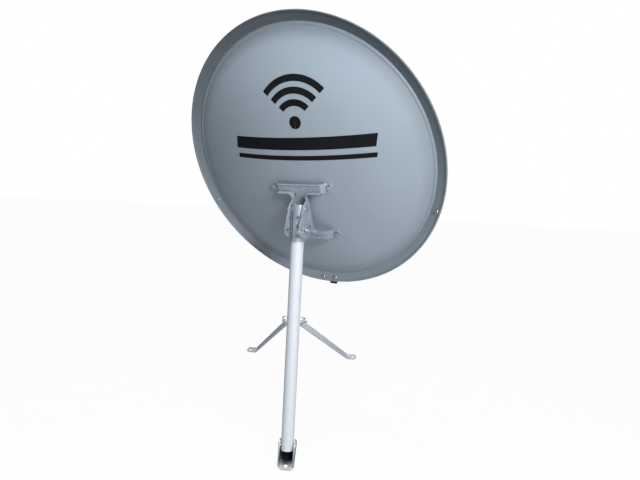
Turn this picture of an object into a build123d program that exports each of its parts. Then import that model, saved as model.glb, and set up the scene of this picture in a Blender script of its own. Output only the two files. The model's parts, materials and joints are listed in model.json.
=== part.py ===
"""Offset satellite dish on a roof mast: reflector, elevation and azimuth head, mast, two stays, hinged foot.

The pieces are built in millimetres with the foot hinge at the origin and the mast axis along +Z. The dish
looks towards +Y and up. Everything is then moved so that the origin is the mouth of the foot bolt hole.
"""

import os
from math import atan, cos, degrees, hypot, radians, sin, sqrt

from build123d import *

# Reflector: a paraboloid stretched along its height, with a conical band and a rolled hem round it.
DISH_WIDTH = 600.0
DISH_STRETCH = 1.038
SHELL_EDGE_RADIUS = 279.0
SHELL_EDGE_Z = -8.0
SHELL_CENTRE_Z = 51.0
SHEET = 1.2
HEM_RADIUS = 2.0
BEAD_RADIUS = 275.5
BEAD_HALF_WIDTH = 3.0
BEAD_HEIGHT = 1.1

# Elevation: the pivot bolt in the dish frame (rim centre, x right, y up the dish, z out of its back).
FACE_TILT = 28.5
PIVOT_DISH_Y = -66.5
PIVOT_DISH_Z = 81.5
PIVOT_BEHIND_MAST = 5.5
ELEVATION_UP = 28.0
ELEVATION_DOWN = 24.0
SLOT_MARGIN = 4.5
LOCK_RADIUS = 47.2
LOCK_ANGLE = 13.5

# Mast and head, measured up from the foot hinge.
MAST_RADIUS = 14.0
MAST_WALL = 1.8
MAST_BOTTOM = -8.0
MAST_TOP = 512.0
STAY_BOLT_Z = 281.0
PIVOT_Z = 521.6
HEAD_BOTTOM = 452.0
HEAD_TOP = 530.0
CHEEK_FRONT = 12.0
HEAD_SLIT_WIDTH = 5.0
HEAD_SLIT_TURN = 28.0
LINER = 0.5
HEAD_SLIT_SPAN = (457.0, 515.0)
CLAMP_SCREW_HEIGHTS = (462.0, 484.5, 503.0)
CLAMP_SCREW_TURN = 20.0
CLAMP_SCREW_PROUD = 0.6

# Base: the foot and the stays are turned about the mast relative to the dish and stand on a sloping roof.
BASE_TURN = 21.2
ROOF_PITCH = 37.0
PLATE_BELOW_HINGE = 24.0
SHOE_WALL = 3.0
SHOE_HALF_WIDTH = 18.0
SHOE_LOW_END = -43.0
SHOE_HIGH_END = 20.0
SHOE_CORNER = 7.0
SHOE_HOLE = -34.5
SHOE_WALL_LOW_END = -38.0
SHOE_HOLE_RADIUS = 4.5
STAY_FOOT_X = 135.5
STAY_FOOT_Y = 227.0
STAY_WIDTH = 14.0
STAY_THICKNESS = 3.5
STAY_HOLE_RADIUS = 3.5

# Dish bracket, one pressed sheet, in the dish frame.
PLATE = 1.6
WEB_BACK = 60.0
EAR_OUTLINE = [(-124, 59), (-50, 59), (-57, 86), (-103, 130), (-130, 102)]
EAR_CORNERS = (12.0, 14.0, 12.0)
BAR_HALF = 50.0
BAR_TOP = -20.0
BAR_BOTTOM = -38.3
LEG_HALF = 48.5
LEG_TOP = -132.0
LEG_BOTTOM = -152.0
BEND_RADIUS = 8.0
LIP_HEIGHT = 9.5
TOP_LIP_HEIGHT = 3.0
TAB_RADIUS = 10.6
TAB_CENTRES = ((65.3, -30.3), (58.5, -150.0))
THROAT_SLOT = (9.0, 2.6)
THROAT_CENTRE = (11.5, -44.0)
THROAT_TURN = 110.0

# Fasteners and fits.
BOLT_SMALL = 3.0
BOLT_LARGE = 4.0
SCREW = 2.5
RUNNING = 0.05
CLOSE = 0.02
HOLE_GAP = 0.3
FLANGE = 1.2

# Feed: the focus of the reflector and the low-noise block held there, in the dish frame.
FOCUS_Y = -178.0
FOCUS_Z = -392.0
FEED_AIM = 22.0
NECK_RADIUS = 20.0
NECK_BEHIND_FOCUS = 35.0
CLAMP_WALL = 3.5
CLAMP_HALF_LENGTH = 7.0
LUG_LENGTH = 13.0
ARM_WIDTH = 18.0
ARM_HEIGHT = 22.0
ARM_WALL = 1.5
ARM_START = Vector(0, -323, -20)
ARM_DROP = 50.0
ROD_RADIUS = 3.5
ROD_KNUCKLE = 5.0
ROD_KNUCKLE_HALF = 3.7
ROD_TAB = 2.5
ROD_EYE = 5.5
ROD_STRIP = 4.5
BLOCK_HALF = 22.0
BLOCK_LENGTH = 24.0
ARM_BOLT = 12.0
SIDE_SCREW = (274.2, -101.7)
BOTTOM_SCREW = (15.5, -301.9)

WALL_INNER = MAST_RADIUS + RUNNING
WALL_OUTER = WALL_INNER + PLATE
EAR_INNER = WALL_OUTER + RUNNING
EAR_OUTER = EAR_INNER + PLATE
HEM_CENTRE = DISH_WIDTH / 2 - HEM_RADIUS
BAND_SLOPE = -SHELL_EDGE_Z / (HEM_CENTRE - SHELL_EDGE_RADIUS)
SHELL_RISE = SHELL_CENTRE_Z - SHELL_EDGE_Z
SIDES = (-1, 1)


def tilted(up, back):
    """Direction in the upright frame of a dish-frame direction with no sideways part."""
    tilt = radians(FACE_TILT)
    return Vector(0, -sin(tilt) * up - cos(tilt) * back, cos(tilt) * up - sin(tilt) * back)


def dish_plane():
    """Dish frame: origin at the rim centre, x right, y up the dish, z out of the back."""
    pivot = Vector(0, -PIVOT_BEHIND_MAST, PIVOT_Z)
    return Plane(origin=pivot - tilted(PIVOT_DISH_Y, PIVOT_DISH_Z), x_dir=(1, 0, 0), z_dir=tilted(0, 1))


def base_plane():
    """Base frame: origin at the foot hinge, x along its pin, y up the roof, z up."""
    turn = radians(BASE_TURN)
    return Plane(origin=(0, 0, 0), x_dir=(cos(turn), sin(turn), 0), z_dir=(0, 0, 1))


def shoe_plane():
    """Upper face of the shoe, in the base frame: x along the pin, y up the slope, origin under the pin."""
    pitch = radians(ROOF_PITCH)
    normal = Vector(0, -sin(pitch), cos(pitch))
    return Plane(origin=normal * -PLATE_BELOW_HINGE, x_dir=(1, 0, 0), z_dir=normal)


def feed_plane():
    """Feed frame, in the dish frame: origin at the middle of the neck, z along the feed axis to the dish."""
    aim = radians(FEED_AIM)
    axis = Vector(0, sin(aim), cos(aim))
    return Plane(origin=Vector(0, FOCUS_Y, FOCUS_Z) - axis * NECK_BEHIND_FOCUS, x_dir=(1, 0, 0), z_dir=axis)


def arm_end():
    """Point on the arm's centre line below the neck, in the dish frame."""
    return feed_plane().from_local_coords(Vector(0, -ARM_DROP, 0))


def arm_plane():
    """Arm frame, in the dish frame: z along the arm away from the dish, y across it towards the dish."""
    return Plane(origin=ARM_START, x_dir=(-1, 0, 0), z_dir=arm_end() - ARM_START)


def arm_bolt_plane():
    """Seat of the bolt under the arm, in the arm frame, z pointing out of the seat."""
    return Plane(origin=(0, -ARM_HEIGHT / 2, ARM_BOLT), x_dir=(1, 0, 0), z_dir=(0, -1, 0))


def shell_plane(x, y):
    """Tangent plane of the shell's back, in the dish frame."""
    bend = SHELL_RISE / SHELL_EDGE_RADIUS ** 2
    flat_y = y / DISH_STRETCH
    height = SHELL_CENTRE_Z - bend * (x ** 2 + flat_y ** 2)
    normal = Vector(2 * bend * x, 2 * bend * flat_y / DISH_STRETCH, 1)
    return Plane(origin=(x, y, height), x_dir=(1, 0, 0), z_dir=normal)


def band_plane(x, y):
    """Tangent plane of the rim band's back, in the dish frame, with x pointing outwards."""
    flat_y = y / DISH_STRETCH
    radius = hypot(x, flat_y)
    height = SHELL_EDGE_Z + BAND_SLOPE * (radius - SHELL_EDGE_RADIUS)
    normal = Vector(-BAND_SLOPE * x / radius, -BAND_SLOPE * flat_y / radius / DISH_STRETCH, 1)
    return Plane(origin=(x, y, height), x_dir=(x, y, 0), z_dir=normal)


def along_x(x, y, z, side):
    """Plane at a point whose z axis points outwards along the x axis."""
    return Plane(origin=(x * side, y, z), x_dir=(0, 1, 0), z_dir=(side, 0, 0))


def cylinder(radius, low, high):
    """Cylinder round z between two heights."""
    return Pos(0, 0, (low + high) / 2) * Cylinder(radius, high - low)


def ring(inner, outer, low, high):
    """Tube round z between two heights."""
    return cylinder(outer, low, high) - cylinder(inner, low - 1, high + 1)


def box(x_range, y_range, z_range):
    """Box given by its three spans."""
    size = [high - low for low, high in (x_range, y_range, z_range)]
    centre = [(high + low) / 2 for low, high in (x_range, y_range, z_range)]
    return Pos(*centre) * Box(*size)


def hexagon(across_flats, low, high):
    """Hexagonal prism round z with its upper corners broken."""
    prism = Pos(0, 0, low) * extrude(RegularPolygon(across_flats / sqrt(3), 6), high - low)
    return chamfer(prism.faces().sort_by(Axis.Z)[-1].edges(), across_flats * 0.06)


def flange_bolt(radius, length, head):
    """Flanged hexagon bolt with the underside of its flange at z = 0 and its shank below."""
    return cylinder(radius * 1.8, 0, FLANGE) + hexagon(radius * 3, FLANGE, FLANGE + head) \
        + cylinder(radius, -length, 0)


def flange_nut(radius, height):
    """Flanged hexagon nut standing on z = 0."""
    body = cylinder(radius * 1.8, 0, FLANGE) + hexagon(radius * 3, FLANGE, height)
    return body - cylinder(radius + CLOSE, -1, height + 1)


def pan_screw(radius, length):
    """Round-headed screw with its head above z = 0 and its shank below."""
    head = cylinder(radius * 2, 0, radius * 1.1)
    head = fillet(head.edges().sort_by(Axis.Z)[-1], radius * 0.8)
    drive = box((-radius * 1.2, radius * 1.2), (-0.5, 0.5), (radius * 0.5, radius * 2))
    cross = box((-0.5, 0.5), (-radius * 1.2, radius * 1.2), (radius * 0.5, radius * 2))
    return head - drive - cross + cylinder(radius, -length, 0)


def both_sides(shape):
    """A shape and its mirror image across the dish's middle plane, as two solids."""
    return Compound(children=[shape, mirror(shape, about=Plane.YZ)])


def reflector():
    """Shell, bead, conical band and hem as one revolved sheet, stretched, with its eight holes."""
    inner, edge = SHELL_EDGE_RADIUS, SHELL_EDGE_Z
    centre, hem = SHELL_CENTRE_Z, HEM_CENTRE
    outline = [
        Bezier((0, centre), (inner / 2, centre), (inner, edge)),
        Line((inner, edge), (hem, 0)),
        Line((hem, 0), (hem, -SHEET)),
        Line((hem, -SHEET), (inner, edge - SHEET)),
        Bezier((inner, edge - SHEET), (inner / 2, centre - SHEET), (0, centre - SHEET)),
        Line((0, centre - SHEET), (0, centre)),
    ]
    bead_z = centre - SHELL_RISE * (BEAD_RADIUS / inner) ** 2
    bead_lean = degrees(atan(2 * SHELL_RISE * BEAD_RADIUS / inner ** 2))
    bead = Pos(BEAD_RADIUS, bead_z) * Rot(0, 0, -bead_lean) * Ellipse(BEAD_HALF_WIDTH, BEAD_HEIGHT)
    profile = Plane.XZ * (make_face(outline) + bead + Pos(hem, 0) * Circle(HEM_RADIUS))
    dish = scale(revolve(profile, Axis.Z), by=(1, DISH_STRETCH, 1))
    for x, y in TAB_CENTRES:
        dish -= both_sides(shell_plane(x, y) * cylinder(BOLT_SMALL + HOLE_GAP, -5, 5))
    for x, y in (SIDE_SCREW, BOTTOM_SCREW):
        dish -= both_sides(band_plane(x, y) * cylinder(SCREW + HOLE_GAP, -5, 5))
    return dish


def bracket_void():
    """Outline of the open bay outside one ear, between the bar and the leg."""
    bay = Pos(EAR_OUTER + BAR_HALF, (BAR_BOTTOM + LEG_TOP) / 2) * Rectangle(2 * BAR_HALF, BAR_BOTTOM - LEG_TOP)
    return fillet(bay.vertices().sort_by(Axis.X)[:2], BEND_RADIUS)


def ear():
    """One ear with its pivot hole and its arc slot, standing on the web."""
    profile = make_face(Polyline(*EAR_OUTLINE, close=True))
    for corner, radius in zip(EAR_OUTLINE[2:], EAR_CORNERS):
        nearest = profile.vertices().sort_by_distance(Vector(*corner))[0]
        profile = fillet(nearest, radius)
    rest = 180 - FACE_TILT + LOCK_ANGLE
    start = rest - ELEVATION_UP - SLOT_MARGIN
    sweep = ELEVATION_UP + ELEVATION_DOWN + 2 * SLOT_MARGIN
    pivot = (PIVOT_DISH_Y, PIVOT_DISH_Z)
    profile -= SlotArc(CenterArc(pivot, LOCK_RADIUS, start, sweep), 2 * (BOLT_SMALL + HOLE_GAP))
    profile -= Pos(*pivot) * Circle(BOLT_SMALL + RUNNING)
    return extrude(Plane.YZ.offset(EAR_INNER) * profile, PLATE)


def bracket_foot(x, y, edge_x, edge_y):
    """Sloping step from the bracket's edge to a round tab lying on the shell."""
    seat = shell_plane(x, y).offset(RUNNING)
    neck_at = seat.from_local_coords(Vector(-TAB_RADIUS * 0.6, 0, PLATE / 2))
    neck = Plane(origin=neck_at, x_dir=seat.y_dir, z_dir=seat.x_dir)
    edge = Plane(origin=(edge_x, edge_y, WEB_BACK - PLATE / 2), x_dir=(0, 1, 0), z_dir=(1, 0, 0))
    section = Rectangle(2 * TAB_RADIUS, PLATE)
    step = loft([edge * section, neck * section], ruled=True)
    tab = cylinder(TAB_RADIUS, 0, PLATE) + box((-TAB_RADIUS * 0.6, 0), (-TAB_RADIUS, TAB_RADIUS), (0, PLATE))
    return step + seat * (tab - cylinder(BOLT_SMALL + HOLE_GAP, -1, PLATE + 1))


def dish_bracket():
    """Pressed sheet: H-shaped web, lips bent up round both bays, two ears and four stepped feet."""
    void = bracket_void()
    middle = (BAR_BOTTOM + LEG_TOP) / 2
    blank = Pos(0, (BAR_TOP + middle) / 2) * Rectangle(2 * BAR_HALF, BAR_TOP - middle)
    blank += Pos(0, (middle + LEG_BOTTOM) / 2) * Rectangle(2 * LEG_HALF, middle - LEG_BOTTOM)
    lip = (offset(void, PLATE) & blank) - void
    floor = WEB_BACK - PLATE
    half = Pos(0, 0, floor) * extrude(lip, PLATE + LIP_HEIGHT) + ear()
    edges = ((BAR_HALF, BAR_TOP - TAB_RADIUS), (LEG_HALF, LEG_BOTTOM + TAB_RADIUS))
    for centre, edge in zip(TAB_CENTRES, edges):
        half += bracket_foot(*centre, *edge)
    slot = Pos(*THROAT_CENTRE) * Rot(0, 0, THROAT_TURN) * SlotOverall(*THROAT_SLOT)
    slots = slot + mirror(slot, about=Plane.YZ)
    web = Pos(0, 0, floor) * extrude(blank - void - mirror(void, about=Plane.YZ) - slots, PLATE)
    top_flange = box((-BAR_HALF, BAR_HALF), (BAR_TOP - PLATE, BAR_TOP), (floor, WEB_BACK + TOP_LIP_HEIGHT))
    return web + top_flange + half + mirror(half, about=Plane.YZ)


def dish_bolts():
    """Four bolts through the bracket's feet and the shell, heads at the back."""
    bolt = flange_bolt(BOLT_SMALL, 12, 4)
    return Compound(children=[both_sides(shell_plane(x, y).offset(PLATE + 2 * RUNNING) * bolt)
                              for x, y in TAB_CENTRES])


def dish_nuts():
    """Four nuts on the reflecting side."""
    nut = Rot(180, 0, 0) * flange_nut(BOLT_SMALL, 6)
    return Compound(children=[both_sides(shell_plane(x, y).offset(-SHEET - RUNNING) * nut)
                              for x, y in TAB_CENTRES])


def mast_bracket():
    """U-shaped channel: a slit web bent round the mast and two flat cheeks that reach towards the dish."""
    wall = ring(WALL_INNER, WALL_OUTER, HEAD_BOTTOM, HEAD_TOP)
    bracket = wall & box((-20, 20), (-20, 0), (HEAD_BOTTOM, HEAD_TOP))
    cheek = box((WALL_INNER, WALL_OUTER), (-0.01, CHEEK_FRONT), (HEAD_BOTTOM, HEAD_TOP))
    cheek = fillet(cheek.edges().filter_by(Axis.X).sort_by(Axis.Z)[:2].sort_by(Axis.Y)[-1], CHEEK_FRONT - 1)
    cheek = fillet(cheek.edges().filter_by(Axis.X).sort_by(Axis.Z)[-2:].sort_by(Axis.Y)[-1], 4)
    bracket += cheek + mirror(cheek, about=Plane.YZ)
    half_slit = HEAD_SLIT_WIDTH / 2
    bracket -= Rot(0, 0, -HEAD_SLIT_TURN) * box((-half_slit, half_slit), (-20, -5), HEAD_SLIT_SPAN)
    for side in SIDES:
        bracket -= along_x(0, -PIVOT_BEHIND_MAST, PIVOT_Z, side) * cylinder(BOLT_SMALL + CLOSE, 0, 20)
        bracket -= along_x(WALL_INNER, *lock_point(), side) * cylinder(BOLT_SMALL, 0, 5)
    for height in CLAMP_SCREW_HEIGHTS:
        bracket -= clamp_screw_plane(height) * cylinder(BOLT_SMALL + CLOSE, -6, 6)
    return bracket


def slit_liner():
    """Black strip behind the slit, between the web and the mast."""
    half_width, (low, high) = HEAD_SLIT_WIDTH / 2 - CLOSE, HEAD_SLIT_SPAN
    wedge = Rot(0, 0, -HEAD_SLIT_TURN) * box((-half_width, half_width), (-20, -5), (low + CLOSE, high - CLOSE))
    return ring(WALL_INNER, WALL_INNER + LINER, HEAD_BOTTOM, HEAD_TOP) & wedge


def lock_point():
    """Height and depth of the lock studs: (y, z) in the upright frame."""
    angle = radians(LOCK_ANGLE)
    return LOCK_RADIUS * sin(angle) - PIVOT_BEHIND_MAST, PIVOT_Z - LOCK_RADIUS * cos(angle)


def clamp_screw_plane(height):
    """Seat of an azimuth clamp screw on the web, z pointing away from the mast."""
    turn = radians(CLAMP_SCREW_TURN)
    out = Vector(sin(turn), -cos(turn), 0)
    return Plane(origin=out * WALL_OUTER + Vector(0, 0, height), x_dir=(0, 0, 1), z_dir=out)


def clamp_screws():
    """Socket screws that press on the mast and hold the azimuth."""
    reach = WALL_OUTER - MAST_RADIUS - CLOSE
    screw = cylinder(BOLT_SMALL, -reach, CLAMP_SCREW_PROUD)
    screw -= Pos(0, 0, -reach / 2) * extrude(RegularPolygon(BOLT_SMALL * 0.6, 6), reach + CLAMP_SCREW_PROUD)
    return Compound(children=[clamp_screw_plane(height) * screw for height in CLAMP_SCREW_HEIGHTS])


def pivot_bolt():
    """Elevation pivot through both ears and both walls of the mast bracket, head on the right."""
    bolt = flange_bolt(BOLT_SMALL, 2 * (EAR_OUTER + RUNNING) + 9, 4)
    return along_x(EAR_OUTER + RUNNING, -PIVOT_BEHIND_MAST, PIVOT_Z, 1) * bolt


def pivot_nut():
    """Nut on the left end of the pivot."""
    return along_x(EAR_OUTER + RUNNING, -PIVOT_BEHIND_MAST, PIVOT_Z, -1) * flange_nut(BOLT_SMALL, 6)


def lock_studs():
    """Studs pressed into the cheeks; they run in the ears' slots."""
    stud = cylinder(BOLT_SMALL, 0, EAR_OUTER - WALL_INNER + 10)
    stud = chamfer(stud.edges().sort_by(Axis.Z)[-1], 0.6)
    return Compound(children=[along_x(WALL_INNER, *lock_point(), side) * stud for side in SIDES])


def lock_washers():
    """Plain washers under the lock nuts."""
    washer = ring(BOLT_SMALL + CLOSE, 6, RUNNING, 1.5)
    return Compound(children=[along_x(EAR_OUTER, *lock_point(), side) * washer for side in SIDES])


def lock_nuts():
    """Nuts that clamp the ears at the chosen elevation."""
    nut = flange_nut(BOLT_SMALL, 6)
    return Compound(children=[along_x(EAR_OUTER + 1.5, *lock_point(), side) * nut for side in SIDES])


def mast_tube():
    """Round tube with cross holes for the stays' bolt and the foot hinge, in the base frame."""
    tube = ring(MAST_RADIUS - MAST_WALL, MAST_RADIUS, MAST_BOTTOM, MAST_TOP)
    for height, radius in ((0, BOLT_LARGE + RUNNING), (STAY_BOLT_Z, BOLT_LARGE + CLOSE)):
        for side in SIDES:
            tube -= along_x(0, 0, height, side) * cylinder(radius, 0, 2 * MAST_RADIUS)
    return tube


def mast_cap():
    """Plastic cap pushed into the top of the mast."""
    cap = cylinder(MAST_RADIUS, MAST_TOP, MAST_TOP + 2)
    cap = fillet(cap.edges().sort_by(Axis.Z)[-1], 1.2)
    return cap + ring(MAST_RADIUS - MAST_WALL - 2, MAST_RADIUS - MAST_WALL - CLOSE, MAST_TOP - 12, MAST_TOP)


def stay_bolt():
    """Bolt through the mast and both stays, head on the left, in the base frame."""
    seat = WALL_INNER + STAY_THICKNESS + RUNNING
    return along_x(seat, 0, STAY_BOLT_Z, -1) * flange_bolt(BOLT_LARGE, 2 * seat + 12, 5)


def stay_nut():
    """Nut on the right end of the stays' bolt."""
    return along_x(WALL_INNER + STAY_THICKNESS + RUNNING, 0, STAY_BOLT_Z, 1) * flange_nut(BOLT_LARGE, 8)


def stay_foot(x, low):
    """Point in the stay's foot tab, in the base frame, at a height above the roof plane."""
    shoe = shoe_plane()
    slope = radians(ROOF_PITCH)
    depth = low - SHOE_WALL
    along = (STAY_FOOT_Y - shoe.origin.Y + depth * sin(slope)) / cos(slope)
    return shoe.from_local_coords(Vector(x, along, depth))


def stay():
    """Right-hand stay: flat bar, folded out at the mast and folded level with the roof at its foot."""
    middle = STAY_THICKNESS / 2
    out = Vector(1, 0, 0)
    bolt = Vector(WALL_INNER + middle, 0, STAY_BOLT_Z)
    foot = stay_foot(STAY_FOOT_X, middle)
    down = Vector(0, foot.Y, foot.Z - STAY_BOLT_Z).normalized()
    fold = bolt + down * 16
    bend = stay_foot(STAY_FOOT_X - 15, middle)
    bar = (bend - fold).normalized()
    up_roof = shoe_plane().y_dir
    across = out.cross(down)
    sections = [
        (bolt, down, across, STAY_WIDTH),
        (fold, down + bar, across, STAY_WIDTH),
        (bend, bar + out, up_roof, STAY_WIDTH),
        (stay_foot(STAY_FOOT_X - 9, middle), out, up_roof, STAY_WIDTH),
        (stay_foot(STAY_FOOT_X + 4, middle), out, up_roof, STAY_WIDTH),
        (stay_foot(STAY_FOOT_X + 8.5, middle), out, up_roof, STAY_WIDTH * 0.5),
    ]
    faces = [Plane(origin=at, x_dir=width_dir, z_dir=normal) * Rectangle(width, STAY_THICKNESS)
             for at, normal, width_dir, width in sections]
    strip = along_x(WALL_INNER, 0, STAY_BOLT_Z, 1) * cylinder(STAY_WIDTH / 2, 0, STAY_THICKNESS)
    for first, second in zip(faces, faces[1:]):
        strip += loft([first, second], ruled=True)
    strip -= along_x(0, 0, STAY_BOLT_Z, 1) * cylinder(BOLT_LARGE + RUNNING, 0, 40)
    hole = Plane(origin=foot, x_dir=out, z_dir=shoe_plane().z_dir) * cylinder(STAY_HOLE_RADIUS, -9, 9)
    return strip - hole


def foot_shoe():
    """Bent U-shaped shoe: plate on the roof, two walls that carry the hinge pin, one bolt hole."""
    outline = make_face(Polyline(
        (SHOE_WALL_LOW_END, -SHOE_WALL), (SHOE_HIGH_END, -SHOE_WALL), (SHOE_HIGH_END, 12), (11, 34), (-11, 34),
        (SHOE_WALL_LOW_END, 4), close=True))
    outline = fillet(outline.vertices().sort_by(Axis.Y)[-2:], 9)
    inner = SHOE_HALF_WIDTH - SHOE_WALL
    shoe = box((-SHOE_HALF_WIDTH, SHOE_HALF_WIDTH), (SHOE_LOW_END, SHOE_HIGH_END), (-SHOE_WALL, 0))
    low_corners = shoe.edges().filter_by(Axis.Z).sort_by(Axis.Y)[:2]
    shoe = chamfer(low_corners, SHOE_CORNER)
    for start in (-SHOE_HALF_WIDTH, inner):
        shoe += extrude(Plane.YZ.offset(start) * outline, SHOE_WALL) & shoe_envelope()
    shoe -= Pos(0, SHOE_HOLE, 0) * cylinder(SHOE_HOLE_RADIUS, -9, 9)
    pin = Plane(origin=(-30, 0, PLATE_BELOW_HINGE), x_dir=(0, 1, 0), z_dir=(1, 0, 0))
    return shoe - pin * cylinder(BOLT_LARGE, 0, 60)


def shoe_envelope():
    """Upright prism over the shoe's plate, with its low corners cut off."""
    prism = box((-SHOE_HALF_WIDTH, SHOE_HALF_WIDTH), (SHOE_LOW_END, SHOE_HIGH_END), (-9, 60))
    return chamfer(prism.edges().filter_by(Axis.Z).sort_by(Axis.Y)[:2], SHOE_CORNER)


def foot_rivet():
    """Hinge pin with two low domed heads, in the base frame."""
    head = cylinder(7, 0, 1.8)
    head = fillet(head.edges().sort_by(Axis.Z)[-1], 1.5)
    rivet = along_x(SHOE_HALF_WIDTH, 0, 0, -1) * cylinder(BOLT_LARGE, -2 * SHOE_HALF_WIDTH, 0)
    for side in SIDES:
        rivet += along_x(SHOE_HALF_WIDTH, 0, 0, side) * head
    return rivet


def feed_arm_block():
    """Wedge-shaped block between the rim band and the feed arm, in the dish frame."""
    near = arm_plane().from_local_coords(Vector(0, ARM_HEIGHT / 2, 0))
    far = arm_plane().from_local_coords(Vector(0, ARM_HEIGHT / 2, BLOCK_LENGTH))
    outline = [(-292, -9.4), (-308.5, -2.8), (-309.5, -4), (near.Y, near.Z), (far.Y, far.Z)]
    block = extrude(Plane.YZ * make_face(Polyline(*outline, close=True)), BLOCK_HALF, both=True)
    for plane in bottom_screw_planes():
        block -= plane * cylinder(SCREW + CLOSE, -14, 5)
    seat = arm_plane().location * arm_bolt_plane().location
    return block - seat * cylinder(BOLT_SMALL + CLOSE, -ARM_HEIGHT - 10, 0)


def bottom_screw_planes():
    """Seats of the two screws at the foot of the rim."""
    x, y = BOTTOM_SCREW
    return [band_plane(side * x, y) for side in SIDES]


def feed_arm():
    """Square tube from below the rim to the low-noise block, in the arm frame."""
    length = (arm_end() - ARM_START).length + 8
    outer = box((-ARM_WIDTH / 2, ARM_WIDTH / 2), (-ARM_HEIGHT / 2, ARM_HEIGHT / 2), (0, length))
    outer = fillet(outer.edges().filter_by(Axis.Z), 2.5)
    half_width, half_height = ARM_WIDTH / 2 - ARM_WALL, ARM_HEIGHT / 2 - ARM_WALL
    inner = box((-half_width, half_width), (-half_height, half_height), (-1, length + 1))
    arm = outer - fillet(inner.edges().filter_by(Axis.Z), 1.5)
    arm -= arm_bolt_plane() * cylinder(BOLT_SMALL + CLOSE, -ARM_HEIGHT - 5, 5)
    for side in SIDES:
        arm -= along_x(0, 0, length - 8, side) * cylinder(BOLT_SMALL + CLOSE, 0, 20)
    return arm


def feed_arm_plug():
    """Plastic plug in the arm's end below the rim, in the arm frame."""
    half_width, half_height = ARM_WIDTH / 2 - ARM_WALL - CLOSE, ARM_HEIGHT / 2 - ARM_WALL - CLOSE
    stem = fillet(box((-half_width, half_width), (-half_height, half_height), (0, 7)).edges().filter_by(Axis.Z), 1.5)
    cap = box((-ARM_WIDTH / 2, ARM_WIDTH / 2), (-ARM_HEIGHT / 2, ARM_HEIGHT / 2), (-2, 0))
    return stem + fillet(cap.edges().filter_by(Axis.Z), 2.5)


def feed_arm_bolt():
    """Bolt from under the arm into the block, in the arm frame."""
    return arm_bolt_plane() * flange_bolt(BOLT_SMALL, ARM_HEIGHT + 8, 4)


def rim_screws(x, y, length):
    """Two round-headed screws in the rim band, heads at the back."""
    return both_sides(band_plane(x, y).offset(RUNNING) * pan_screw(SCREW, length))


def side_rod_nuts():
    """Nuts that hold the side rods to the front of the rim band."""
    nut = Rot(180, 0, 0) * flange_nut(SCREW, 5)
    return both_sides(band_plane(*SIDE_SCREW).offset(-SHEET - ROD_TAB - 3 * RUNNING) * nut)


def side_rod():
    """Right-hand rod from the rim to the end of the feed arm, with a flat tab at each end."""
    seat = band_plane(*SIDE_SCREW).offset(-SHEET - ROD_TAB - 2 * RUNNING)
    rim_tab_middle = seat.from_local_coords(Vector(0, 0, ROD_TAB / 2))
    arm_tab_x = ARM_WIDTH / 2 + 2 * RUNNING + SHOE_WALL + RUNNING
    arm_tab_middle = Vector(arm_tab_x + ROD_TAB / 2, arm_end().Y, arm_end().Z)
    across = rim_tab_middle - arm_tab_middle
    near = arm_tab_middle + Vector(0, across.Y, across.Z).normalized() * 14
    local = seat.to_local_coords(near)
    inward = Vector(local.X, local.Y, 0).normalized()
    far = seat.from_local_coords(inward * 14 + Vector(0, 0, ROD_TAB - ROD_KNUCKLE_HALF))
    rod = Plane(origin=near, z_dir=far - near) * cylinder(ROD_RADIUS, 0, (far - near).length)
    rod += rod_tab(arm_tab_middle, near, Vector(1, 0, 0))
    rod += rod_tab(rim_tab_middle, far, seat.z_dir)
    rod -= Plane(origin=arm_tab_middle, z_dir=(1, 0, 0)) * cylinder(BOLT_SMALL + CLOSE, -9, 9)
    return rod - seat * cylinder(SCREW + CLOSE, -9, 9)


def rod_tab(hole, root, normal):
    """Flattened end of a rod: a round eye at the hole, a strip, and the knuckle that the rod runs into."""
    plane = Plane(origin=hole, x_dir=root - hole, z_dir=normal)
    reach = plane.to_local_coords(root)
    half = ROD_TAB / 2
    eye = cylinder(ROD_EYE, -half, half) + box((0, reach.X), (-ROD_STRIP, ROD_STRIP), (-half, half))
    return plane * (eye + Pos(*reach) * cylinder(ROD_KNUCKLE, -ROD_KNUCKLE_HALF, ROD_KNUCKLE_HALF))


def lnb_clamp_half():
    """Half ring round the neck with two lugs, in the feed frame, lying above y = 0."""
    outer = NECK_RADIUS + RUNNING + CLAMP_WALL
    length = CLAMP_HALF_LENGTH
    half = ring(NECK_RADIUS + RUNNING, outer, -length, length)
    half += box((-outer - LUG_LENGTH, -outer + 1), (0.5, 5), (-length, length))
    half += box((outer - 1, outer + LUG_LENGTH), (0.5, 5), (-length, length))
    half &= box((-60, 60), (0.5, 60), (-length, length))
    for plane in lug_planes():
        half -= plane * cylinder(BOLT_SMALL + CLOSE, -20, 20)
    return half


def lug_planes():
    """Seats of the two clamp screws on top of the lugs, in the feed frame."""
    reach = NECK_RADIUS + RUNNING + CLAMP_WALL + LUG_LENGTH / 2
    return [Plane(origin=(side * reach, 5 + CLOSE, 0), x_dir=(1, 0, 0), z_dir=(0, 1, 0)) for side in SIDES]


def lnb_holder_upper():
    """Strap over the neck, in the feed frame."""
    return lnb_clamp_half()


def lnb_holder_lower():
    """Cradle under the neck with a fork that straddles the feed arm, in the feed frame."""
    inner = ARM_WIDTH / 2 + 2 * RUNNING
    outer = inner + SHOE_WALL
    length = CLAMP_HALF_LENGTH
    cradle = mirror(lnb_clamp_half(), about=Plane.XZ)
    fork = box((-outer, outer), (-ARM_DROP - 8, -NECK_RADIUS - 1), (-length, length))
    fork -= box((-inner, inner), (-ARM_DROP - 9, -NECK_RADIUS - 8), (-60, 60))
    fork -= cylinder(NECK_RADIUS + 1, -60, 60)
    fork -= Plane(origin=(0, -ARM_DROP, 0), z_dir=(1, 0, 0)) * cylinder(BOLT_SMALL + CLOSE, -30, 30)
    return cradle + fork


def lnb_holder_screws():
    """Two screws through the lugs, in the feed frame."""
    return Compound(children=[plane * flange_bolt(BOLT_SMALL, 14, 4) for plane in lug_planes()])


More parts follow.
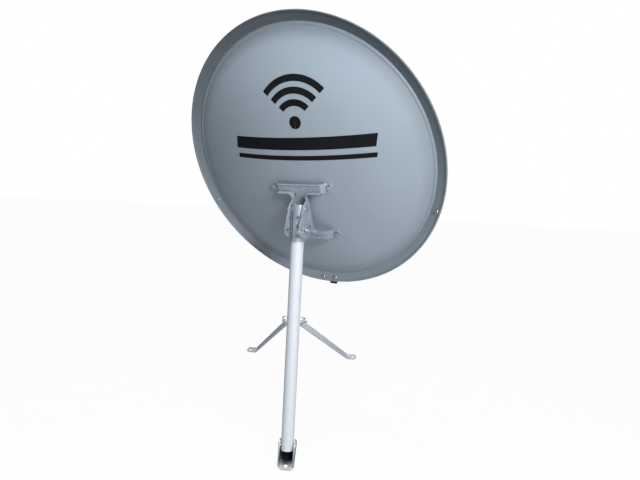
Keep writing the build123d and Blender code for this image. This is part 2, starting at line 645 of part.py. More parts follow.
def arm_joint_seat():
    """Distance from the middle plane to the outside of the side rods' tabs."""
    return ARM_WIDTH / 2 + 2 * RUNNING + SHOE_WALL + ROD_TAB + 2 * RUNNING


def holder_bolt():
    """Bolt through the fork, the arm and both side rods, in the dish frame."""
    seat = arm_joint_seat()
    return along_x(seat, arm_end().Y, arm_end().Z, 1) * flange_bolt(BOLT_SMALL, 2 * seat + 9, 4)


def holder_nut():
    """Nut on the left end of the holder bolt, in the dish frame."""
    return along_x(arm_joint_seat(), arm_end().Y, arm_end().Z, -1) * flange_nut(BOLT_SMALL, 6)


def lnb_horn():
    """Metal neck and flared horn of the low-noise block, in the feed frame."""
    horn = cylinder(NECK_RADIUS, -25, 12) + Pos(0, 0, 16) * Cone(NECK_RADIUS, 27, 8) + cylinder(27, 20, 30)
    return horn - cylinder(15, 2, 40)


def lnb_cap():
    """Weather cap over the horn's mouth, in the feed frame."""
    cap = cylinder(28.5, 24, 38)
    cap = fillet(cap.edges().sort_by(Axis.Z)[-1], 5)
    return cap - cylinder(27 + CLOSE, 20, 30 + CLOSE)


def lnb_body():
    """Rounded plastic housing of the electronics, in the feed frame."""
    body = box((-24, 24), (-21, 21), (-80, -25))
    body = fillet(body.edges().filter_by(Axis.Z), 9)
    body = fillet(body.faces().sort_by(Axis.Z)[0].edges(), 4)
    return body - Pos(0, -21, -60) * Rot(90, 0, 0) * cylinder(6, -4, 20)


def f_connector():
    """Threaded coaxial connector under the housing, in the feed frame."""
    socket = Plane(origin=(0, -17, -60), x_dir=(1, 0, 0), z_dir=(0, -1, 0))
    connector = hexagon(10.2, 0, 6) + cylinder(4.75, 6, 18)
    return socket * (connector - cylinder(0.6, 8, 20))


def in_base(shape):
    return base_plane().location * shape


def in_shoe(shape):
    return in_base(shoe_plane().location * shape)


def in_dish(shape):
    return dish_plane().location * shape


def in_feed(shape):
    return in_dish(feed_plane().location * shape)


def in_arm(shape):
    return in_dish(arm_plane().location * shape)


def origin_shift():
    """Move that brings the mouth of the foot bolt hole, on the roof side, to the origin."""
    mouth = base_plane().from_local_coords(shoe_plane().from_local_coords(Vector(0, SHOE_HOLE, -SHOE_WALL)))
    return Pos(*(mouth * -1))


def pieces():
    """Every piece by node name, in the upright frame."""
    rod, strut = side_rod(), stay()
    return {
        "reflector": in_dish(reflector()),
        "dish_bracket": in_dish(dish_bracket()),
        "dish_bolts": in_dish(dish_bolts()),
        "dish_nuts": in_dish(dish_nuts()),
        "mast_bracket": mast_bracket(),
        "slit_liner": slit_liner(),
        "clamp_screws": clamp_screws(),
        "pivot_bolt": pivot_bolt(),
        "pivot_nut": pivot_nut(),
        "lock_studs": lock_studs(),
        "lock_washers": lock_washers(),
        "lock_nuts": lock_nuts(),
        "mast_tube": in_base(mast_tube()),
        "mast_cap": mast_cap(),
        "stay_bolt": in_base(stay_bolt()),
        "stay_nut": in_base(stay_nut()),
        "stay_right": in_base(strut),
        "stay_left": in_base(mirror(strut, about=Plane.YZ)),
        "foot_shoe": in_shoe(foot_shoe()),
        "foot_rivet": in_base(foot_rivet()),
        "feed_arm": in_arm(feed_arm()),
        "feed_arm_block": in_dish(feed_arm_block()),
        "feed_arm_plug": in_arm(feed_arm_plug()),
        "feed_arm_bolt": in_arm(feed_arm_bolt()),
        "feed_arm_screws": in_dish(rim_screws(*BOTTOM_SCREW, 12)),
        "side_rod_right": in_dish(rod),
        "side_rod_left": in_dish(mirror(rod, about=Plane.YZ)),
        "side_rod_screws": in_dish(rim_screws(*SIDE_SCREW, 11)),
        "side_rod_nuts": in_dish(side_rod_nuts()),
        "lnb_holder_lower": in_feed(lnb_holder_lower()),
        "lnb_holder_upper": in_feed(lnb_holder_upper()),
        "lnb_holder_screws": in_feed(lnb_holder_screws()),
        "holder_bolt": in_dish(holder_bolt()),
        "holder_nut": in_dish(holder_nut()),
        "lnb_horn": in_feed(lnb_horn()),
        "lnb_cap": in_feed(lnb_cap()),
        "lnb_body": in_feed(lnb_body()),
        "f_connector": in_feed(f_connector()),
    }


os.makedirs("parts", exist_ok=True)
for node, shape in pieces().items():
    export_step(origin_shift() * shape, f"parts/{node}.step")
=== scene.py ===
import json
import math

import bmesh
import bpy
from mathutils import Matrix, Vector


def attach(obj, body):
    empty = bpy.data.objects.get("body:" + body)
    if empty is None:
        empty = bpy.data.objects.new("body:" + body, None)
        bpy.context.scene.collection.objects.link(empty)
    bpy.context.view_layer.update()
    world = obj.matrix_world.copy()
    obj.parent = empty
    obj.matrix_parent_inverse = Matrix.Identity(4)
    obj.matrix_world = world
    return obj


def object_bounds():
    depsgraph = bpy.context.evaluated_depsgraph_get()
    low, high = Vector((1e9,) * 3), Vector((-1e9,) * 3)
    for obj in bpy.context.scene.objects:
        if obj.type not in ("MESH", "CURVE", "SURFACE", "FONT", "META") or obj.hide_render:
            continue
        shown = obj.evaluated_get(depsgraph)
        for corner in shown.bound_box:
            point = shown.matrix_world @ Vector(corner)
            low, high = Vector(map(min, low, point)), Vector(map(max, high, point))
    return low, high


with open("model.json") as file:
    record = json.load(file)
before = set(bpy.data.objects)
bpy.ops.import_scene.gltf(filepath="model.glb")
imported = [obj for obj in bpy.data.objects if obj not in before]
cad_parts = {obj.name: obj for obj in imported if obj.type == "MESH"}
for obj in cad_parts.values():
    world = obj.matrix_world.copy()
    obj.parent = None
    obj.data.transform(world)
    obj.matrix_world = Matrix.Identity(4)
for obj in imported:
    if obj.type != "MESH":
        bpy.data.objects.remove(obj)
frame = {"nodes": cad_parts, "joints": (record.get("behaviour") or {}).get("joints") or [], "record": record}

CAD_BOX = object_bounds()
MM = 0.001

# Camera, placed from the foot hinge: where it stands, and how it is turned, in degrees.
CAMERA_FROM_HINGE = Vector((0.4938, -0.9478, 0.5337))
CAMERA_TURN = 24.93
CAMERA_PITCH = -4.09
CAMERA_ROLL = 3.0
LENS = 28.125
SENSOR = 36.0

# Reflector, as in the CAD, in millimetres: tilt of its face, pivot from the rim's centre, and shell.
FACE_TILT = 28.5
PIVOT_UP = -66.5
PIVOT_BACK = 81.5
STRETCH = 1.038
CENTRE_BACK = 51.0
SHELL_FALL = 59.0
SHELL_RADIUS = 279.0

# Painted shadow in the shoe under the end of the mast, in metres: how far below the hinge it is centred, and
# where it starts to fade and ends.
SHADOW_DEPTH = 0.026
SHADOW_REACH = (0.014, 0.029)

# Shade behind the rim band: its width and depth on the shell, where the band starts, its depth low and high.
SHADE_WIDTH = 32.0
SHELL_SHADE = 0.28
BAND_START = (-0.4, 0.6)
BAND_SHADE = (0.15, 0.78)

# Ears of the dish bracket, in millimetres and degrees: their outer face, and the pressed arc round the pivot,
# whose height fades out over a share of its length at each end.
EAR_FACE = 17.3
RIB_RADIUS = 29.0
RIB_SPAN = (138.0, 222.0)
RIB_STEPS = 28
RIB_FADE = 0.25
RIB_ROOT = 0.2
RIB_PROFILE = ((-2.2, -RIB_ROOT), (-1.4, 0.8), (0.0, 1.3), (1.4, 0.8), (2.2, -RIB_ROOT))

# Printed mark, in the rim frame, in millimetres and degrees: a dot and arcs round one centre, over two
# stripes with leaning ends. The film has two faces just above the paint.
MARK_CENTRE = (10, 108)
DOT_RADII = (0.5, 13)
DOT_HALF_ANGLE = 179
ARC_RADII = (32, 55, 78)
ARC_WIDTH = 13
ARC_HALF_ANGLE = 48
STRIPE_ENDS = (-150, 170)
STRIPE_LEAN = 0.2
WIDE_STRIPE = (52, 78)
THIN_STRIPE = (30, 40)
FILM_FACES = (0.03, 0.12)
FILM_ROWS = 4
ARC_STEPS = 24
STRIPE_STEPS = 40

# Floor: how far under the object, and half its side, in metres, and how much it glows for the camera.
FLOOR_GAP = 0.002
FLOOR_REACH = 30
FLOOR_GLOW = 0.97

# Lamps: direction from the pivot, distance and size in metres, power in watts, and colour.
LAMPS = {
    "key": ((0.74, -0.60, 0.30), 1.8, 0.6, 26, (1.0, 1.0, 1.0)),
    "top": ((0.10, -0.35, 0.93), 1.2, 0.5, 12, (0.95, 0.98, 1.0)),
}

# Surroundings: brightness that the camera sees, the light on the object from above and below, and the
# height of direction over which one fades into the other.
BACKDROP = 1.0
CEILING = 0.26
GROUND = 0.03
HORIZON = (-0.1, 0.9)

JOINTS = {joint["name"]: Vector(joint["pos_m"]) for joint in frame["joints"]}
HINGE = JOINTS["mast_tilt"]


# ---------------------------------------------------------------- dish frame

def dish_matrix():
    """Rim frame in the row frame: x right, y up the dish, z out of its back, in millimetres."""
    tilt = math.radians(FACE_TILT)
    up = Vector((0, -math.sin(tilt), math.cos(tilt)))
    back = Vector((0, -math.cos(tilt), -math.sin(tilt)))
    centre = JOINTS["elevation"] - (up * PIVOT_UP + back * PIVOT_BACK) * MM
    turn = Matrix([list(row) for row in zip(Vector((1, 0, 0)), up, back)]).to_4x4()
    return Matrix.Translation(centre) @ turn @ Matrix.Scale(MM, 4)


def in_dish_frame(node):
    """Matrix from a CAD node's own coordinates to the rim frame, in millimetres."""
    bpy.context.view_layer.update()
    return dish_matrix().inverted() @ frame["nodes"][node].matrix_world


# ---------------------------------------------------------------- node helpers

def set_range(node, low, high, to_low, to_high):
    """Sets the two ranges of a map range node."""
    node.inputs["From Min"].default_value = low
    node.inputs["From Max"].default_value = high
    node.inputs["To Min"].default_value = to_low
    node.inputs["To Max"].default_value = to_high


class Nodes:
    """One material with a principled surface, and short calls that add and link its nodes."""

    def __init__(self, name):
        self.material = bpy.data.materials.new(name)
        self.material.use_nodes = True
        self.tree = self.material.node_tree
        self.tree.nodes.clear()
        self.output = self.add("ShaderNodeOutputMaterial")
        self.surface = self.add("ShaderNodeBsdfPrincipled")
        self.link(self.surface.outputs["BSDF"], self.output.inputs["Surface"])
        self.place = self.add("ShaderNodeTexCoord").outputs["Object"]

    def add(self, kind, **settings):
        """New node of a kind, with settings."""
        node = self.tree.nodes.new(kind)
        for key, value in settings.items():
            setattr(node, key, value)
        return node

    def link(self, source, target):
        self.tree.links.new(source, target)

    def feed(self, target, value):
        """Links a socket, or sets a plain value."""
        if isinstance(value, bpy.types.NodeSocket):
            self.link(value, target)
        else:
            target.default_value = value

    def stretched(self, scale):
        """Object coordinates scaled by a vector."""
        mapping = self.add("ShaderNodeMapping")
        mapping.inputs["Scale"].default_value = scale
        self.link(self.place, mapping.inputs["Vector"])
        return mapping.outputs["Vector"]

    def noise(self, scale, detail=3.0, rough=0.5, at=None):
        """Noise value in object space, or at another vector."""
        node = self.add("ShaderNodeTexNoise")
        self.link(at or self.place, node.inputs["Vector"])
        node.inputs["Scale"].default_value = scale
        node.inputs["Detail"].default_value = detail
        node.inputs["Roughness"].default_value = rough
        return node.outputs["Fac"]

    def cells(self, scale):
        """Random grey value per Voronoi cell."""
        node = self.add("ShaderNodeTexVoronoi")
        self.link(self.place, node.inputs["Vector"])
        node.inputs["Scale"].default_value = scale
        grey = self.add("ShaderNodeRGBToBW")
        self.link(node.outputs["Color"], grey.inputs["Color"])
        return grey.outputs["Val"]

    def span(self, value, low, high, to_low, to_high):
        """Value carried from one range to another, held at both ends."""
        node = self.add("ShaderNodeMapRange")
        set_range(node, low, high, to_low, to_high)
        self.link(value, node.inputs["Value"])
        return node.outputs["Result"]

    def math(self, operation, first, second):
        """Result of a two-value operation on sockets or numbers."""
        node = self.add("ShaderNodeMath", operation=operation)
        self.feed(node.inputs[0], first)
        self.feed(node.inputs[1], second)
        return node.outputs["Value"]

    def mix(self, factor, first, second):
        """Mix of two colours."""
        node = self.add("ShaderNodeMix", data_type="RGBA")
        self.feed(node.inputs["Factor"], factor)
        colours = [socket for socket in node.inputs if socket.type == "RGBA"]
        self.feed(colours[0], first)
        self.feed(colours[1], second)
        return [socket for socket in node.outputs if socket.type == "RGBA"][0]

    def along(self, row, source):
        """Value of one row of a matrix applied to a vector socket."""
        dot = self.add("ShaderNodeVectorMath", operation="DOT_PRODUCT")
        self.link(source, dot.inputs[0])
        dot.inputs[1].default_value = row[:3]
        return self.math("ADD", dot.outputs["Value"], row[3])

    def bevel(self, radius):
        """Normal with its edges rounded off."""
        node = self.add("ShaderNodeBevel", samples=4)
        node.inputs["Radius"].default_value = radius
        return node.outputs["Normal"]

    def edge(self, radius, strength):
        """Mask that is high where the surface turns sharply."""
        dot = self.add("ShaderNodeVectorMath", operation="DOT_PRODUCT")
        self.link(self.bevel(radius), dot.inputs[0])
        self.link(self.add("ShaderNodeNewGeometry").outputs["Normal"], dot.inputs[1])
        return self.span(dot.outputs["Value"], 1.0, 0.75, 0.0, strength)

    def bump(self, height, distance, strength=1.0, normal=None):
        """Normal disturbed by a height, on top of another normal if there is one."""
        node = self.add("ShaderNodeBump")
        node.inputs["Distance"].default_value = distance
        node.inputs["Strength"].default_value = strength
        self.link(height, node.inputs["Height"])
        if normal is not None:
            self.link(normal, node.inputs["Normal"])
        return node.outputs["Normal"]

    def finish(self, **inputs):
        """Feeds the surface's inputs, named with _ for a space, and returns the material."""
        for name, value in inputs.items():
            self.feed(self.surface.inputs[name.replace("_", " ")], value)
        return self.material


def rgb(red, green, blue):
    """Opaque colour."""
    return (red, green, blue, 1.0)


def shade(colour, factor):
    """Colour made lighter or darker by a factor."""
    return tuple(channel * factor for channel in colour[:3]) + (1.0,)


# ---------------------------------------------------------------- materials

DUST = rgb(0.55, 0.56, 0.55)
DEEP_SHADE = rgb(0.02, 0.025, 0.03)
# Painted highlight for the edges of zinc sheet and tube.
ZINC_EDGE_HIGHLIGHT = rgb(0.9, 0.92, 0.95)
# Painted highlight for the edges of bright zinc and nickel fasteners.
METAL_EDGE_HIGHLIGHT = rgb(0.95, 0.95, 0.95)
# Painted shadow in the shoe under the end of the mast.
SHOE_SHADOW_COLOUR = rgb(0.006, 0.007, 0.009)
EVEN = (1, 1, 1)
LENGTHWISE = (8, 8, 0.15)


def rim_shade(n):
    """Mask of the shade on the back of the rim band, deepest at the top, fading in on the shell."""
    to_dish = in_dish_frame("reflector")
    across = n.along(to_dish[0], n.place)
    up = n.along(to_dish[1], n.place)
    flat_up = n.math("DIVIDE", up, STRETCH)
    square = n.math("ADD", n.math("MULTIPLY", across, across), n.math("MULTIPLY", flat_up, flat_up))
    radius = n.math("POWER", square, 0.5)
    near_rim = n.span(radius, SHELL_RADIUS - SHADE_WIDTH, SHELL_RADIUS - 1, 0.0, SHELL_SHADE)
    on_band = n.span(radius, SHELL_RADIUS + BAND_START[0], SHELL_RADIUS + BAND_START[1], 0.0, 1.0)
    depth = n.span(up, -SHELL_RADIUS, SHELL_RADIUS, *BAND_SHADE)
    both = n.math("MAXIMUM", near_rim, n.math("MULTIPLY", on_band, depth))
    normal = n.add("ShaderNodeTexCoord").outputs["Normal"]
    facing_back = n.along(list(to_dish[2][:3]) + [0.0], normal)
    back_side = n.span(facing_back, 0.0, 0.2 / MM, 0.0, 1.0)
    return n.math("MULTIPLY", both, back_side)


def powder_coat(name, colour, rough, worn=0.35, shaded=False):
    """Satin powder coat: faint clouding, fine orange peel, dust specks and thin worn edges."""
    n = Nodes(name)
    cloud = n.span(n.noise(7.0, 4.0), 0.3, 0.7, 0.0, 1.0)
    grain = n.noise(1400.0, 2.0)
    body = n.mix(cloud, shade(colour, 0.95), shade(colour, 1.04))
    body = n.mix(n.span(grain, 0.35, 0.65, 0.0, 0.12), body, shade(colour, 1.35))
    dust = n.span(n.noise(55.0, 6.0, 0.7), 0.62, 0.74, 0.0, 0.10)
    body = n.mix(dust, body, DUST)
    wear = n.math("MULTIPLY", n.edge(0.0006, worn), n.span(n.noise(220.0), 0.4, 0.6, 0.2, 1.0))
    body = n.mix(wear, body, shade(colour, 1.5))
    if shaded:
        body = n.mix(rim_shade(n), body, DEEP_SHADE)
    uneven = n.span(n.noise(30.0, 4.0), 0.3, 0.7, rough - 0.05, rough + 0.06)
    roughness = n.math("ADD", uneven, wear)
    peel = n.bump(n.noise(650.0, 1.0), 0.00012, 0.5)
    peel = n.bump(n.noise(9.0, 1.0), 0.0009, 0.3, peel)
    return n.finish(Base_Color=body, Roughness=roughness, Normal=peel, Specular_IOR_Level=0.5)


def galvanised(name, colour, metal, rough, stretch, patchy=1.0, with_shoe_shadow=False):
    """Zinc sheet or tube: spangle, dull bloom, draw lines, softened edges with a painted highlight, and on
    request a painted shadow in the shoe.
    """
    n = Nodes(name)
    spangle = n.cells(160.0)
    bloom = n.span(n.noise(18.0, 5.0, 0.6), 0.35, 0.7, 0.0, 1.0)
    lines = n.noise(60.0, 3.0, 0.6, n.stretched(stretch))
    dark_crystal = shade(colour, 1 - 0.07 * patchy)
    light_crystal = shade(colour, 1 + 0.05 * patchy)
    body = n.mix(n.span(spangle, 0.2, 0.8, 0.0, 1.0), dark_crystal, light_crystal)
    body = n.mix(n.span(bloom, 0.0, 1.0, 0.0, 0.35 * patchy), body, shade(colour, 0.82))
    body = n.mix(n.span(lines, 0.45, 0.7, 0.0, 0.25), body, shade(colour, 1.12))
    # Painted highlight along the edges.
    body = n.mix(n.edge(0.0007, 0.6), body, ZINC_EDGE_HIGHLIGHT)
    # Painted shadow under the end of the mast, in the shoe.
    if with_shoe_shadow:
        body = n.mix(shoe_shadow_mask(n), body, SHOE_SHADOW_COLOUR)
    uneven = n.span(spangle, 0.0, 1.0, rough - 0.06, rough + 0.06)
    roughness = n.math("ADD", uneven, n.span(lines, 0.3, 0.7, -0.04, 0.04))
    normal = n.bump(lines, 0.00006, 0.5, n.bevel(0.0005))
    normal = n.bump(n.noise(900.0, 2.0), 0.00004, 0.5, normal)
    return n.finish(Base_Color=body, Metallic=metal, Roughness=roughness, Normal=normal)


def shoe_shadow_mask(n):
    """Mask of the painted shadow in the shoe, full below the end of the mast and fading outwards."""
    place = frame["nodes"]["foot_shoe"].matrix_world
    far = n.add("ShaderNodeVectorMath", operation="DISTANCE")
    n.link(n.place, far.inputs[0])
    far.inputs[1].default_value = place.inverted() @ (HINGE + Vector((0, 0, -SHADOW_DEPTH)))
    ragged = n.math("ADD", far.outputs["Value"], n.span(n.noise(90.0, 4.0), 0.3, 0.7, -0.001, 0.001))
    return n.span(ragged, *SHADOW_REACH, 1.0, 0.0)


def zinc_hardware(name, colour):
    """Bright zinc fasteners: faint clouding, a painted highlight on the edges and a fine grain."""
    n = Nodes(name)
    tint = n.noise(90.0, 3.0)
    body = n.mix(n.span(tint, 0.35, 0.65, 0.0, 1.0), shade(colour, 0.85), shade(colour, 1.02))
    # Painted highlight along the edges.
    body = n.mix(n.edge(0.0004, 0.7), body, METAL_EDGE_HIGHLIGHT)
    roughness = n.span(n.noise(300.0, 4.0), 0.3, 0.7, 0.24, 0.42)
    normal = n.bump(n.noise(1200.0, 2.0), 0.00004, 0.5, n.bevel(0.0003))
    return n.finish(Base_Color=body, Metallic=1.0, Roughness=roughness, Normal=normal)


def moulded(name, colour, rough, grain):
    """Moulded plastic: fine spark texture, pale scuffs and pale edges."""
    n = Nodes(name)
    scuff = n.span(n.noise(40.0, 6.0, 0.7), 0.58, 0.75, 0.0, 0.5)
    body = n.mix(scuff, colour, shade(colour, 1.8))
    body = n.mix(n.edge(0.0006, 0.35), body, shade(colour, 2.2))
    roughness = n.span(n.noise(120.0, 3.0), 0.3, 0.7, rough - 0.08, rough + 0.08)
    normal = n.bump(n.noise(grain, 2.0), 0.0001, 0.6, n.bevel(0.0006))
    return n.finish(Base_Color=body, Roughness=roughness, Normal=normal)


def cast_metal(name, colour):
    """Die-cast alloy: cloudy satin surface with a fine grain."""
    n = Nodes(name)
    body = n.mix(n.noise(35.0, 4.0), shade(colour, 0.85), shade(colour, 1.1))
    roughness = n.span(n.noise(260.0, 3.0), 0.3, 0.7, 0.36, 0.55)
    normal = n.bump(n.noise(1000.0, 2.0), 0.00008, 0.6, n.bevel(0.0004))
    return n.finish(Base_Color=body, Metallic=0.9, Roughness=roughness, Normal=normal)


def printed_ink(name):
    """Black screen print with a slightly uneven film."""
    n = Nodes(name)
    body = n.mix(n.noise(60.0, 5.0), rgb(0.003, 0.003, 0.004), rgb(0.010, 0.010, 0.012))
    roughness = n.span(n.noise(400.0, 3.0), 0.3, 0.7, 0.65, 0.8)
    normal = n.bump(n.noise(800.0), 0.00003, 0.4)
    return n.finish(Base_Color=body, Roughness=roughness, Normal=normal, Specular_IOR_Level=0.2)


def paper_floor():
    """Pale studio floor with a barely visible grain, nearly as white to the camera as the backdrop."""
    n = Nodes("studio_floor")
    body = n.mix(n.noise(3.0, 4.0), rgb(0.60, 0.60, 0.60), rgb(0.64, 0.64, 0.64))
    material = n.finish(Base_Color=body, Roughness=0.9, Normal=n.bump(n.noise(300.0), 0.0002, 0.2))
    glow = n.add("ShaderNodeEmission")
    seen = n.math("MULTIPLY", n.add("ShaderNodeLightPath").outputs["Is Camera Ray"], FLOOR_GLOW)
    blend = n.add("ShaderNodeMixShader")
    n.link(seen, blend.inputs["Fac"])
    n.link(n.surface.outputs["BSDF"], blend.inputs[1])
    n.link(glow.outputs["Emission"], blend.inputs[2])
    n.link(blend.outputs["Shader"], n.output.inputs["Surface"])
    return material


DISH_BLUE = rgb(0.36, 0.43, 0.50)
MATERIALS = {
    "dish_paint": powder_coat("dish_powder_coat", DISH_BLUE, 0.46, shaded=True),
    "arm_paint": powder_coat("arm_powder_coat", shade(DISH_BLUE, 0.9), 0.5),
    "zinc_sheet": galvanised("galvanised_sheet", rgb(0.45, 0.51, 0.58), 0.42, 0.36, EVEN),
    "zinc_tube": galvanised("galvanised_tube", rgb(0.76, 0.81, 0.87), 0.10, 0.42, LENGTHWISE, patchy=0.2),
    "bolt_zinc": zinc_hardware("bright_zinc", rgb(0.62, 0.65, 0.69)),
    "black_plastic": moulded("black_plastic", rgb(0.018, 0.018, 0.020), 0.5, 1500.0),
    "lnb_plastic": moulded("lnb_plastic", rgb(0.42, 0.44, 0.46), 0.45, 1300.0),
    "lnb_metal": cast_metal("lnb_cast_metal", rgb(0.62, 0.63, 0.65)),
    "connector_metal": zinc_hardware("nickel_plate", rgb(0.78, 0.76, 0.70)),
}
INK = printed_ink("black_print")
# Zinc for the shoe, with a painted shadow under the end of the mast.
SHOE_ZINC = galvanised("shoe_zinc", rgb(0.42, 0.46, 0.51), 0.20, 0.42, EVEN, patchy=0.5, with_shoe_shadow=True)
FRESH_ZINC = galvanised("fresh_zinc", rgb(0.70, 0.75, 0.81), 0.20, 0.40, EVEN, patchy=0.5)
SPECIAL = {"stay_left": FRESH_ZINC, "stay_right": FRESH_ZINC, "foot_shoe": SHOE_ZINC}


def dress_nodes():
    """Gives every CAD node the material of its record slot, or its own zinc to a stay or the shoe."""
    for entry in frame["record"]["subparts"]:
        mesh = frame["nodes"][entry["node"]].data
        mesh.materials.clear()
        mesh.materials.append(SPECIAL.get(entry["node"], MATERIALS[entry["material_slot"]]))


# ---------------------------------------------------------------- printed mark on the back of the dish

def on_shell(x, y, lift):
    """Point on the shell's back, lifted along its normal."""
    bend = SHELL_FALL / SHELL_RADIUS ** 2
    flat_y = y / STRETCH
    normal = Vector((2 * bend * x, 2 * bend * flat_y / STRETCH, 1)).normalized()
    return Vector((x, y, CENTRE_BACK - bend * (x * x + flat_y * flat_y))) + normal * lift


def printed_film(name, rows):
    """Closed thin film over a grid of points on the shell."""
    mesh = bmesh.new()
    place = dish_matrix()
    layers = []
    for lift in FILM_FACES:
        layers.append([[mesh.verts.new(place @ on_shell(x, y, lift)) for x, y in row] for row in rows])
    count = len(rows)
    width = len(rows[0])
    for layer, grid in enumerate(layers):
        for i in range(count - 1):
            for j in range(width - 1):
                corners = [grid[i][j], grid[i][j + 1], grid[i + 1][j + 1], grid[i + 1][j]]
                mesh.faces.new(corners if layer else corners[::-1])
    rim = [(0, j) for j in range(width)] + [(i, width - 1) for i in range(1, count)]
    rim += [(count - 1, j) for j in range(width - 2, -1, -1)] + [(i, 0) for i in range(count - 2, 0, -1)]
    for (a, b), (c, d) in zip(rim, rim[1:] + rim[:1]):
        mesh.faces.new([layers[0][a][b], layers[0][c][d], layers[1][c][d], layers[1][a][b]])
    bmesh.ops.recalc_face_normals(mesh, faces=mesh.faces)
    return add_piece(name, mesh, INK, "dish")


def add_piece(name, mesh, material, body):
    """Turns a bmesh into a piece that rides on a body."""
    data = bpy.data.meshes.new(name)
    mesh.to_mesh(data)
    mesh.free()
    data.materials.append(material)
    piece = bpy.data.objects.new(name, data)
    bpy.context.scene.collection.objects.link(piece)
    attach(piece, body)
    return piece


def arc_rows(centre, inner, outer, half_angle):
    """Grid of points over a ring sector that opens upwards."""
    rows = []
    for i in range(FILM_ROWS + 1):
        radius = inner + (outer - inner) * i / FILM_ROWS
        angles = [math.radians(90 + half_angle * (2 * j / ARC_STEPS - 1)) for j in range(ARC_STEPS + 1)]
        rows.append([(centre[0] + radius * math.cos(a), centre[1] + radius * math.sin(a)) for a in angles])
    return rows


def stripe_rows(low_y, high_y):
    """Grid of points over a stripe with leaning ends."""
    low_x, high_x = STRIPE_ENDS
    rows = []
    for i in range(FILM_ROWS + 1):
        y = low_y + (high_y - low_y) * i / FILM_ROWS
        start = low_x + STRIPE_LEAN * (y - low_y)
        rows.append([(start + (high_x - low_x) * j / STRIPE_STEPS, y) for j in range(STRIPE_STEPS + 1)])
    return rows


def add_mark():
    """Plain signal arcs over two plain stripes."""
    printed_film("mark_dot", arc_rows(MARK_CENTRE, *DOT_RADII, DOT_HALF_ANGLE))
    for number, radius in enumerate(ARC_RADII):
        printed_film(f"mark_arc_{number}", arc_rows(MARK_CENTRE, radius, radius + ARC_WIDTH, ARC_HALF_ANGLE))
    printed_film("mark_stripe_wide", stripe_rows(*WIDE_STRIPE))
    printed_film("mark_stripe_thin", stripe_rows(*THIN_STRIPE))


def add_ear_rib(name, side):
    """Raised arc pressed into the outer face of an ear, round the pivot."""
    place = dish_matrix()
    mesh = bmesh.new()
    rows = []
    for i in range(RIB_STEPS + 1):
        angle = math.radians(RIB_SPAN[0] + (RIB_SPAN[1] - RIB_SPAN[0]) * i / RIB_STEPS)
        fade = min(1.0, i / (RIB_FADE * RIB_STEPS), (RIB_STEPS - i) / (RIB_FADE * RIB_STEPS))
        row = []
        for out, height in RIB_PROFILE:
            radius = RIB_RADIUS + out
            x = side * (EAR_FACE + (height + RIB_ROOT) * fade - RIB_ROOT)
            spot = Vector((x, PIVOT_UP + radius * math.cos(angle), PIVOT_BACK + radius * math.sin(angle)))
            row.append(mesh.verts.new(place @ spot))
        rows.append(row)
    for first, second in zip(rows, rows[1:]):
        for j in range(len(RIB_PROFILE)):
            k = (j + 1) % len(RIB_PROFILE)
            mesh.faces.new([first[j], first[k], second[k], second[j]])
    mesh.faces.new(rows[0])
    mesh.faces.new(rows[-1][::-1])
    bmesh.ops.recalc_face_normals(mesh, faces=mesh.faces)
    for face in mesh.faces:
        face.smooth = True
    return add_piece(name, mesh, MATERIALS["zinc_sheet"], "dish")


# ---------------------------------------------------------------- studio

def add_floor():
    """Large pale floor just under the object."""
    level = CAD_BOX[0][2] - FLOOR_GAP
    mesh = bmesh.new()
    bmesh.ops.create_grid(mesh, x_segments=4, y_segments=4, size=FLOOR_REACH)
    bmesh.ops.translate(mesh, verts=mesh.verts, vec=(0, 0, level))
    data = bpy.data.meshes.new("floor")
    mesh.to_mesh(data)
    mesh.free()
    data.materials.append(paper_floor())
    floor = bpy.data.objects.new("floor", data)
    bpy.context.scene.collection.objects.link(floor)


def add_light(name, direction, distance, size, power, colour):
    """Round area light that looks at the elevation pivot."""
    target = JOINTS["elevation"]
    data = bpy.data.lights.new(name, "AREA")
    data.shape = "DISK"
    data.size = size
    data.energy = power
    data.color = colour
    light = bpy.data.objects.new(name, data)
    away = Vector(direction).normalized()
    light.location = target + away * distance
    light.rotation_euler = away.to_track_quat("Z", "Y").to_euler()
    bpy.context.scene.collection.objects.link(light)


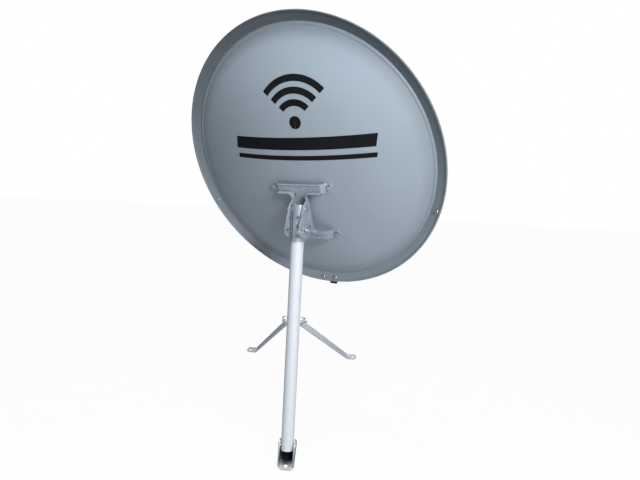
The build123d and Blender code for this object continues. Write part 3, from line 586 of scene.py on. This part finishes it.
def add_world():
    """White to the camera; for the object a soft ceiling that fades to a dim ground."""
    world = bpy.data.worlds.new("studio")
    bpy.context.scene.world = world
    world.use_nodes = True
    tree = world.node_tree
    tree.nodes.clear()

    def link(source, target):
        tree.links.new(source, target)

    output = tree.nodes.new("ShaderNodeOutputWorld")
    mix = tree.nodes.new("ShaderNodeMixShader")
    path = tree.nodes.new("ShaderNodeLightPath")
    split = tree.nodes.new("ShaderNodeSeparateXYZ")
    fade = tree.nodes.new("ShaderNodeMapRange")
    backdrop = tree.nodes.new("ShaderNodeBackground")
    surround = tree.nodes.new("ShaderNodeBackground")
    backdrop.inputs["Strength"].default_value = BACKDROP
    backdrop.inputs["Color"].default_value = rgb(1, 1, 1)
    surround.inputs["Color"].default_value = rgb(0.90, 0.95, 1.0)
    set_range(fade, *HORIZON, GROUND, CEILING)
    link(tree.nodes.new("ShaderNodeTexCoord").outputs["Generated"], split.inputs["Vector"])
    link(split.outputs["Z"], fade.inputs["Value"])
    link(fade.outputs["Result"], surround.inputs["Strength"])
    link(path.outputs["Is Camera Ray"], mix.inputs["Fac"])
    link(surround.outputs["Background"], mix.inputs[1])
    link(backdrop.outputs["Background"], mix.inputs[2])
    link(mix.outputs["Shader"], output.inputs["Surface"])


def add_camera():
    """Camera behind the dish, a little to its right, nearly level."""
    data = bpy.data.cameras.new("camera")
    data.lens = LENS
    data.sensor_width = SENSOR
    camera = bpy.data.objects.new("camera", data)
    turn, pitch, roll = (math.radians(a) for a in (CAMERA_TURN, CAMERA_PITCH, CAMERA_ROLL))
    level = Matrix.Rotation(turn, 4, "Z") @ Matrix.Rotation(math.pi / 2 + pitch, 4, "X")
    look = level @ Matrix.Rotation(roll, 4, "Z")
    camera.matrix_world = Matrix.Translation(HINGE + CAMERA_FROM_HINGE) @ look
    bpy.context.scene.collection.objects.link(camera)
    bpy.context.scene.camera = camera


bpy.context.scene.view_settings.view_transform = "Standard"
dress_nodes()
add_mark()
add_ear_rib("ear_rib_right", 1)
add_ear_rib("ear_rib_left", -1)
add_floor()
for lamp, settings in LAMPS.items():
    add_light(lamp, *settings)
add_world()
add_camera()
